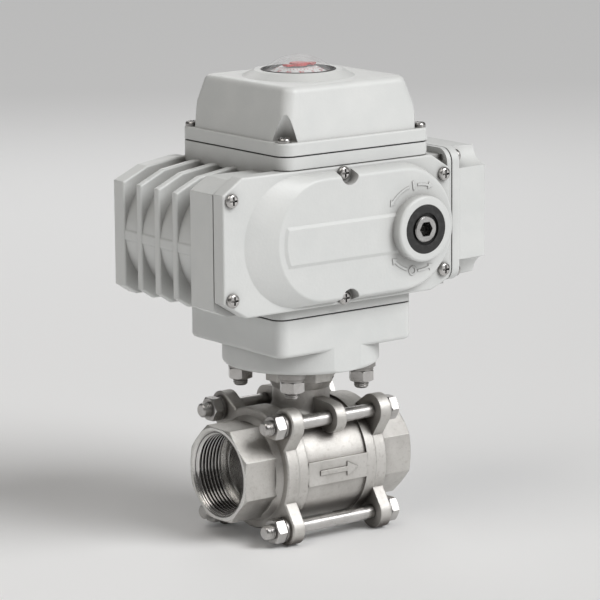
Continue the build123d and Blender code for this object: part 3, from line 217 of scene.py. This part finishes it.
def steel(name, dark, light, rough, edge=0.3 * MM, grain=(1.0, 1.0, 1.0), wear=0.5):
    """Machined or ground steel with fine tool marks, finger haze and bright edges."""
    f = Finish(name)
    haze = f.noise(9 * MM, 3.0)
    marks = f.noise(0.18 * MM, 2.0, where=f.stretched(grain))
    colour = f.mix(f.span(haze, 0.3, 0.7, 0.0, 1.0), dark, light)
    # painted shade: near-black mixed into the colour in corners and joints
    colour = f.mix(f.math("MULTIPLY", f.crevices(4 * MM), 0.75), colour, grey(0.06, 0.06))
    colour = f.mix(f.math("MULTIPLY", f.edges(edge), wear), colour, grey(0.88))
    f.set(Base_Color=colour, Metallic=1.0)
    f.set(Roughness=f.span(f.math("ADD", haze, marks), 0.7, 1.3, rough * 0.75, rough * 1.3))
    f.set(Normal=f.bump(marks, 0.008 * MM, f.rounded(edge)))
    return f.material


def bronze():
    f = Finish("bronze")
    tarnish = f.noise(7 * MM, 4.0)
    colour = f.mix(f.span(tarnish, 0.35, 0.7, 0.0, 1.0), (0.72, 0.47, 0.22, 1), (0.50, 0.31, 0.15, 1))
    colour = f.mix(f.math("MULTIPLY", f.edges(0.3 * MM), 0.5), colour, (0.90, 0.68, 0.38, 1))
    f.set(Base_Color=colour, Metallic=1.0, Roughness=f.span(tarnish, 0.3, 0.7, 0.24, 0.40))
    f.set(Normal=f.bump(f.noise(0.3 * MM, 2.0), 0.01 * MM, f.rounded(0.25 * MM)))
    return f.material


def plastic(name, colour, second, rough, peel=0.02):
    """Moulded plastic with a light grain."""
    f = Finish(name)
    shade = f.mix(f.span(f.noise(8 * MM, 2.0), 0.35, 0.65, 0.0, 1.0), colour, second)
    # painted shade: near-black mixed into the colour in corners and joints
    shade = f.mix(f.math("MULTIPLY", f.crevices(2 * MM), 0.4), shade, grey(0.03))
    f.set(Base_Color=shade, Roughness=f.span(f.noise(2 * MM, 2.0), 0.3, 0.7, rough * 0.85, rough * 1.15))
    f.set(Normal=f.bump(f.noise(0.35 * MM, 2.0), peel * MM, f.rounded(0.3 * MM)))
    return f.material


def black_rubber():
    """Moulded rubber, faintly chalky, with flow marks."""
    f = Finish("black_rubber")
    chalk = f.noise(2.5 * MM, 4.0)
    shade = f.mix(f.span(chalk, 0.45, 0.75, 0.0, 1.0), grey(0.018), grey(0.045))
    f.set(Base_Color=shade, Roughness=f.span(chalk, 0.3, 0.7, 0.42, 0.62))
    f.set(Normal=f.bump(f.noise(0.4 * MM, 3.0), 0.02 * MM, f.rounded(0.25 * MM)))
    return f.material


def clear_window():
    """Clear moulded dome: thin enough that only its shine and a trace of haze show."""
    f = Finish("clear_window")
    haze = f.noise(6 * MM, 3.0)
    f.set(Base_Color=(0.90, 0.92, 0.93, 1), Alpha=f.span(haze, 0.3, 0.7, 0.09, 0.14))
    f.set(Roughness=f.span(haze, 0.4, 0.8, 0.04, 0.10), IOR=1.49)
    f.set(Normal=f.bump(f.noise(9 * MM, 1.0), 0.02 * MM))
    return f.material


FINISHES = {
    "powder_coat": powder_coat,
    "cast_stainless": cast_stainless,
    "polished_stainless": lambda: steel("polished_stainless", grey(0.62, 0.02), grey(0.72, 0.015), 0.14),
    "fastener_steel": lambda: steel("fastener_steel", grey(0.46, 0.03), grey(0.60, 0.02), 0.30, wear=0.35),
    "spring_steel": lambda: steel("spring_steel", grey(0.32, 0.04), grey(0.44, 0.03), 0.34),
    "gear_steel": lambda: steel("gear_steel", grey(0.36, 0.02), grey(0.48, 0.01), 0.26, edge=0.2 * MM),
    "bearing_steel": lambda: steel("bearing_steel", grey(0.50), grey(0.62), 0.12, edge=0.2 * MM),
    "bare_aluminium": lambda: steel("bare_aluminium", grey(0.66), grey(0.78), 0.32, grain=(0.05, 1.0, 1.0)),
    "nickel_brass": lambda: steel("nickel_brass", grey(0.56, 0.05), grey(0.68, 0.04), 0.18),
    "bronze": bronze,
    "ptfe": lambda: plastic("ptfe", grey(0.78), (0.82, 0.81, 0.78, 1), 0.40, 0.01),
    "dial_white": lambda: plastic("dial_white", grey(0.80), grey(0.84), 0.30, 0.004),
    "pointer_red": lambda: plastic("pointer_red", (0.62, 0.02, 0.02, 1), (0.68, 0.03, 0.025, 1), 0.28, 0.004),
    "black_plastic": lambda: plastic("black_plastic", grey(0.025), grey(0.04), 0.38),
    "motor_case": lambda: plastic("motor_case", grey(0.035), grey(0.05), 0.32),
    "black_rubber": black_rubber,
    "clear_window": clear_window,
}
finishes = {slot: make() for slot, make in FINISHES.items()}


def apply_finish(piece, slot):
    piece.data.materials.clear()
    piece.data.materials.append(finishes[slot])


slot_of = {part["node"]: part["material_slot"] for part in frame["record"]["subparts"]}
for name, piece in nodes.items():
    apply_finish(piece, slot_of[name])


# ------------------------------------------------------------------ mesh helpers
def new_piece(name, vertices, faces, slot, body="root", smooth=True):
    mesh = bpy.data.meshes.new(name)
    mesh.from_pydata([tuple(vertex) for vertex in vertices], [], faces)
    piece = bpy.data.objects.new(name, mesh)
    bpy.context.scene.collection.objects.link(piece)
    shell = bmesh.new()
    shell.from_mesh(mesh)
    bmesh.ops.recalc_face_normals(shell, faces=shell.faces)
    shell.to_mesh(mesh)
    shell.free()
    for face in mesh.polygons:
        face.use_smooth = smooth
    apply_finish(piece, slot)
    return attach(piece, body)


def loops_to_faces(loops, around):
    """Quads between closed loops of points that follow each other, also from the last to the first."""
    faces = []
    for loop in range(loops):
        for step in range(around):
            a = loop * around + step
            b = loop * around + (step + 1) % around
            c = (loop + 1) % loops * around + (step + 1) % around
            d = (loop + 1) % loops * around + step
            faces.append((a, b, c, d))
    return faces


# ------------------------------------------------------------------ pipe threads
THREAD_PITCH = 2.309 * MM
THREAD_DEPTH = 1.478 * MM
THREAD_ROOT = 23.95 * MM
THREAD_LENGTH = 18.4 * MM
THREAD_INSET = 0.9 * MM


def port_thread(name, cap, direction):
    """Helical thread ridge inside one port: a sleeve whose inner wall rises and falls along the bore."""
    low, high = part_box(cap)
    mouth = high.x if direction > 0 else low.x
    around, per_turn = 120, 12
    rings = int(THREAD_LENGTH / THREAD_PITCH * per_turn)
    vertices = []
    for index in range(rings + 1):
        travel = THREAD_LENGTH * index / rings
        for step in range(around):
            angle = TURN * step / around
            phase = (travel / THREAD_PITCH + direction * step / around) % 1.0
            wave = 0.5 + 0.5 * math.cos(TURN * phase)
            ridge = max(0.0, min(1.0, (wave - 0.12) / 0.76))
            lead_in = min(1.0, travel / (1.2 * THREAD_PITCH))
            run_out = min(1.0, (THREAD_LENGTH - travel) / (1.0 * THREAD_PITCH))
            radius = THREAD_ROOT - 0.1 * MM - THREAD_DEPTH * ridge * lead_in * max(0.15, run_out)
            x = mouth - direction * (THREAD_INSET + travel)
            vertices.append((x, radius * math.cos(angle), radius * math.sin(angle)))
    for end in (THREAD_LENGTH, 0.0):
        for step in range(around):
            angle = TURN * step / around
            x = mouth - direction * (THREAD_INSET + end)
            vertices.append((x, THREAD_ROOT * math.cos(angle), THREAD_ROOT * math.sin(angle)))
    return new_piece(name, vertices, loops_to_faces(rings + 3, around), "polished_stainless")


port_thread("port_thread_left", "end_cap_left", -1)
port_thread("port_thread_right", "end_cap_right", 1)


# ------------------------------------------------------------------ bolt threads
BOLT_RADIUS = 4.0 * MM
BOLT_PITCH = 1.25 * MM
BOLT_RIDGE = 0.32 * MM


def bolt_sleeve(start, axis, length):
    """Rings of one threaded bolt end, from its tip along the axis."""
    side = axis.orthogonal().normalized()
    other = axis.cross(side)
    around, per_turn = 40, 10
    rings = int(length / BOLT_PITCH * per_turn)
    points = []
    for index in range(rings + 1):
        travel = length * index / rings
        for step in range(around):
            phase = travel / BOLT_PITCH + step / around
            ridge = BOLT_RIDGE * (0.5 + 0.5 * math.cos(TURN * phase)) * min(1.0, travel / BOLT_PITCH)
            angle = TURN * step / around
            radius = BOLT_RADIUS + 0.03 * MM + ridge
            points.append(start + axis * travel + radius * (side * math.cos(angle) + other * math.sin(angle)))
    for travel in (length, 0.0):
        for step in range(around):
            angle = TURN * step / around
            inner = 0.97 * BOLT_RADIUS
            points.append(start + axis * travel + inner * (side * math.cos(angle) + other * math.sin(angle)))
    return points, loops_to_faces(rings + 3, around)


def bolt_threads(name, tips, axis, length):
    vertices, faces = [], []
    for tip in tips:
        points, quads = bolt_sleeve(tip, axis, length)
        faces += [tuple(corner + len(vertices) for corner in quad) for quad in quads]
        vertices += points
    return new_piece(name, vertices, faces, "fastener_steel")


CHAMFER = 0.8 * MM
TIE_OFFSET = 30.0 * MM
STUD_OFFSET = 24.75 * MM
TIE_LENGTH, STUD_LENGTH = 4.6 * MM, 3.2 * MM
tie_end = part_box("tie_bolts")[0].x + CHAMFER
stud_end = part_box("base_studs")[0].z + CHAMFER
corners = [(side_u, side_v) for side_u in (-1, 1) for side_v in (-1, 1)]
tie_tips = [Vector((tie_end, u * TIE_OFFSET, v * TIE_OFFSET)) for u, v in corners]
stud_tips = [Vector((u * STUD_OFFSET, v * STUD_OFFSET, stud_end)) for u, v in corners]
bolt_threads("tie_bolt_threads", tie_tips, Vector((1, 0, 0)), TIE_LENGTH)
bolt_threads("stud_threads", stud_tips, Vector((0, 0, 1)), STUD_LENGTH)


# ------------------------------------------------------------------ raised marks and dial print
def raised(name, shapes, slot):
    """Flat shapes standing on a surface: each is an outline and the step that lifts its top."""
    vertices, faces = [], []
    for outline, rise in shapes:
        first, count = len(vertices), len(outline)
        vertices += outline + [point + rise for point in outline]
        faces += [tuple(range(first, first + count)), tuple(range(first + count, first + 2 * count))]
        for step in range(count):
            after = (step + 1) % count
            faces.append((first + step, first + after, first + count + after, first + count + step))
    return new_piece(name, vertices, faces, slot, smooth=False)


SHAFT_X, SHAFT_Z = 40.5 * MM, 138.3 * MM
COVER_FACE = -57.0 * MM
MARK_RADIUS, MARK_WIDTH = 24.5 * MM, 1.3 * MM
MARK_RISE = Vector((0, -0.55 * MM, 0))
SUNK = 0.1 * MM  # how far a raised mark starts inside the surface


def on_cover(radius, angle):
    turn = math.radians(angle)
    across, up = radius * math.cos(turn), radius * math.sin(turn)
    return Vector((SHAFT_X + across, COVER_FACE + SUNK, SHAFT_Z + up))


def curved_arrow(start, end):
    """Arrow along a circle round the hand-drive boss, with its head at the end angle."""
    neck = end - math.copysign(7.0, end - start)
    angles = [start + (neck - start) * step / 12 for step in range(13)]
    outer = [on_cover(MARK_RADIUS + MARK_WIDTH / 2, angle) for angle in angles]
    inner = [on_cover(MARK_RADIUS - MARK_WIDTH / 2, angle) for angle in reversed(angles)]
    head = [on_cover(MARK_RADIUS + 1.6 * MARK_WIDTH, neck), on_cover(MARK_RADIUS, end),
            on_cover(MARK_RADIUS - 1.6 * MARK_WIDTH, neck)]
    return outer + head + inner


def open_symbol(angle):
    """Short bar that stands for the open valve."""
    reach = 2.6 * MM
    return [on_cover(MARK_RADIUS + reach, angle - 1.4), on_cover(MARK_RADIUS + reach, angle + 1.4),
            on_cover(MARK_RADIUS - reach, angle + 1.6), on_cover(MARK_RADIUS - reach, angle - 1.6)]


def shut_symbol(angle):
    """Ring that stands for the shut valve, as short blocks side by side."""
    middle = on_cover(MARK_RADIUS, angle)
    blocks = []
    for index in range(24):
        block = []
        for radius, turn in ((1.7, index), (2.7, index), (2.7, index + 1), (1.7, index + 1)):
            way = TURN * turn / 24
            block.append(middle + radius * MM * Vector((math.cos(way), 0, math.sin(way))))
        blocks.append(block)
    return blocks


arrows = [curved_arrow(105, 145), curved_arrow(91, 66), curved_arrow(251, 220), curved_arrow(269, 295)]
marks = arrows + [open_symbol(98)] + shut_symbol(260)
raised("hand_drive_marks", [(outline, MARK_RISE) for outline in marks], "powder_coat")

PLATE_FACE = -35.0 * MM
flow = [(-13, -1.4), (6, -1.4), (6, -4.2), (14, 0), (6, 4.2), (6, 1.4), (-13, 1.4)]
flow_outline = [Vector((x * MM, PLATE_FACE + SUNK, z * MM)) for x, z in flow]
raised("flow_arrow", [(flow_outline, Vector((0, -0.7 * MM, 0)))], "cast_stainless")

DIAL_RADIUS, DIAL_INNER = 18.0 * MM, 11.0 * MM
DIAL_EDGE, DIAL_TOP = 223.6 * MM, 227.2 * MM
DIAL_SLOPE = math.atan2(DIAL_TOP - DIAL_EDGE, DIAL_RADIUS - DIAL_INNER)
PRINT_HEIGHT = 0.05 * MM


def dial_axes(angle):
    """Directions on the cone at an angle: along the rim, up the slope and out of the surface."""
    turn = math.radians(angle)
    along = Vector((-math.sin(turn), math.cos(turn), 0))
    out = Vector((math.cos(turn), math.sin(turn), 0))
    up = -out * math.cos(DIAL_SLOPE) + Vector((0, 0, math.sin(DIAL_SLOPE)))
    return along, up, along.cross(up)


def dial_point(radius, angle):
    turn = math.radians(angle)
    height = DIAL_EDGE + (DIAL_RADIUS - radius) * math.tan(DIAL_SLOPE)
    return Vector((radius * math.cos(turn), radius * math.sin(turn), height))


def dial_tick(angle, low, high, width):
    along, _, out = dial_axes(angle)
    side = along * width / 2
    inner, outer = dial_point(high, angle), dial_point(low, angle)
    return [outer - side, outer + side, inner + side, inner - side], out * PRINT_HEIGHT


def dial_number(text, angle, radius, size):
    """Mesh of a number laid on the cone, upright for someone outside the dial."""
    curve = bpy.data.curves.new(text, "FONT")
    curve.body = text
    curve.size = size
    curve.align_x = "CENTER"
    curve.align_y = "CENTER"
    curve.extrude = PRINT_HEIGHT
    holder = bpy.data.objects.new(text, curve)
    mesh = bpy.data.meshes.new_from_object(holder)
    along, up, out = dial_axes(angle)
    middle = dial_point(radius, angle)
    points = [middle + along * v.co.x + up * v.co.y + out * v.co.z for v in mesh.vertices]
    faces = [tuple(face.vertices) for face in mesh.polygons]
    bpy.data.objects.remove(holder)
    return points, faces


ticks = []
for angle in range(0, 360, 5):
    if angle % 30:
        ticks.append(dial_tick(angle, 17.6 * MM, 16.2 * MM, 0.35 * MM))
    else:
        ticks.append(dial_tick(angle, 17.6 * MM, 15.4 * MM, 0.6 * MM))
    if angle % 10 == 0:
        ticks.append(dial_tick(angle, 11.9 * MM, 11.2 * MM, 0.35 * MM))
raised("dial_ticks", ticks, "pointer_red")

number_points, number_faces = [], []
for index in range(12):
    value = (0, 30, 60, 90)[index % 4]
    points, faces = dial_number(str(value), 30 * index - 90, 13.7 * MM, 2.9 * MM)
    number_faces += [tuple(corner + len(number_points) for corner in face) for face in faces]
    number_points += points
new_piece("dial_numbers", number_points, number_faces, "pointer_red", smooth=False)


# ------------------------------------------------------------------ camera, floor and light
LOOK_AT = Vector((-0.12 * MM, 0.0, 93.1 * MM))
AZIMUTH, ELEVATION, DISTANCE = math.radians(-37.0), math.radians(11.17), 1.904
SENSOR = 36.0
FOCAL_PIXELS, IMAGE_WIDTH = 3332.4, 600
ROLL = -0.45

eye = LOOK_AT + DISTANCE * Vector((math.sin(AZIMUTH) * math.cos(ELEVATION),
                                   -math.cos(AZIMUTH) * math.cos(ELEVATION),
                                   math.sin(ELEVATION)))
camera = bpy.data.objects.new("camera", bpy.data.cameras.new("camera"))
bpy.context.scene.collection.objects.link(camera)
camera.data.sensor_width = SENSOR
camera.data.lens = FOCAL_PIXELS / IMAGE_WIDTH * SENSOR
camera.location = eye
aim = (LOOK_AT - eye).to_track_quat("-Z", "Y")
camera.rotation_euler = (aim @ Quaternion((0, 0, 1), math.radians(ROLL))).to_euler()
bpy.context.scene.camera = camera


def studio_light(kind, name, azimuth, elevation, distance, energy, colour=(1, 1, 1), **shape):
    """Light at an angle round the part's middle, aimed at it; azimuth 0 is in front of the gear cover."""
    lamp = bpy.data.lights.new(name, kind)
    lamp.energy = energy
    lamp.color = colour
    for key, value in shape.items():
        setattr(lamp, key, value)
    turn, rise = math.radians(azimuth), math.radians(elevation)
    level = math.cos(rise)
    place = Vector((math.sin(turn) * level, -math.cos(turn) * level, math.sin(rise))) * distance
    holder = bpy.data.objects.new(name, lamp)
    bpy.context.scene.collection.objects.link(holder)
    holder.location = LOOK_AT + place
    holder.rotation_euler = (-place).to_track_quat("-Z", "Y").to_euler()


studio_light("SUN", "key_sun", 24, 42, 2.0, 2.15, angle=math.radians(35))
studio_light("AREA", "front_card", 30, 12, 1.4, 2.0, shape="RECTANGLE", size=0.5, size_y=1.2)
WARM = (1.0, 0.97, 0.93)
studio_light("AREA", "left_card", -80, 58, 1.5, 5.5, WARM, shape="RECTANGLE", size=0.9, size_y=0.9)
studio_light("AREA", "back_card", 150, 30, 1.6, 3.0, shape="RECTANGLE", size=0.8, size_y=0.8)

world = bpy.data.worlds.new("studio")
world.use_nodes = True
world.node_tree.nodes["Background"].inputs["Color"].default_value = (1.0, 0.98, 0.95, 1.0)
world.node_tree.nodes["Background"].inputs["Strength"].default_value = 0.10
bpy.context.scene.world = world
bpy.context.scene.view_settings.view_transform = "Standard"


def studio_floor():
    """Plain pale floor, wide enough to fill the view."""
    level = cad_bounds[0][2] - 0.2 * MM
    reach = 9.0
    corners = [(-reach, -reach, level), (reach, -reach, level), (reach, reach, level), (-reach, reach, level)]
    mesh = bpy.data.meshes.new("studio_floor")
    mesh.from_pydata(corners, [], [(0, 1, 2, 3)])
    floor = bpy.data.objects.new("studio_floor", mesh)
    bpy.context.scene.collection.objects.link(floor)
    f = Finish("studio_floor")
    f.set(Base_Color=(0.82, 0.82, 0.82, 1), Roughness=0.8)
    f.set(Emission_Color=(1, 1, 1, 1), Emission_Strength=0.05)
    mesh.materials.append(f.material)


studio_floor()
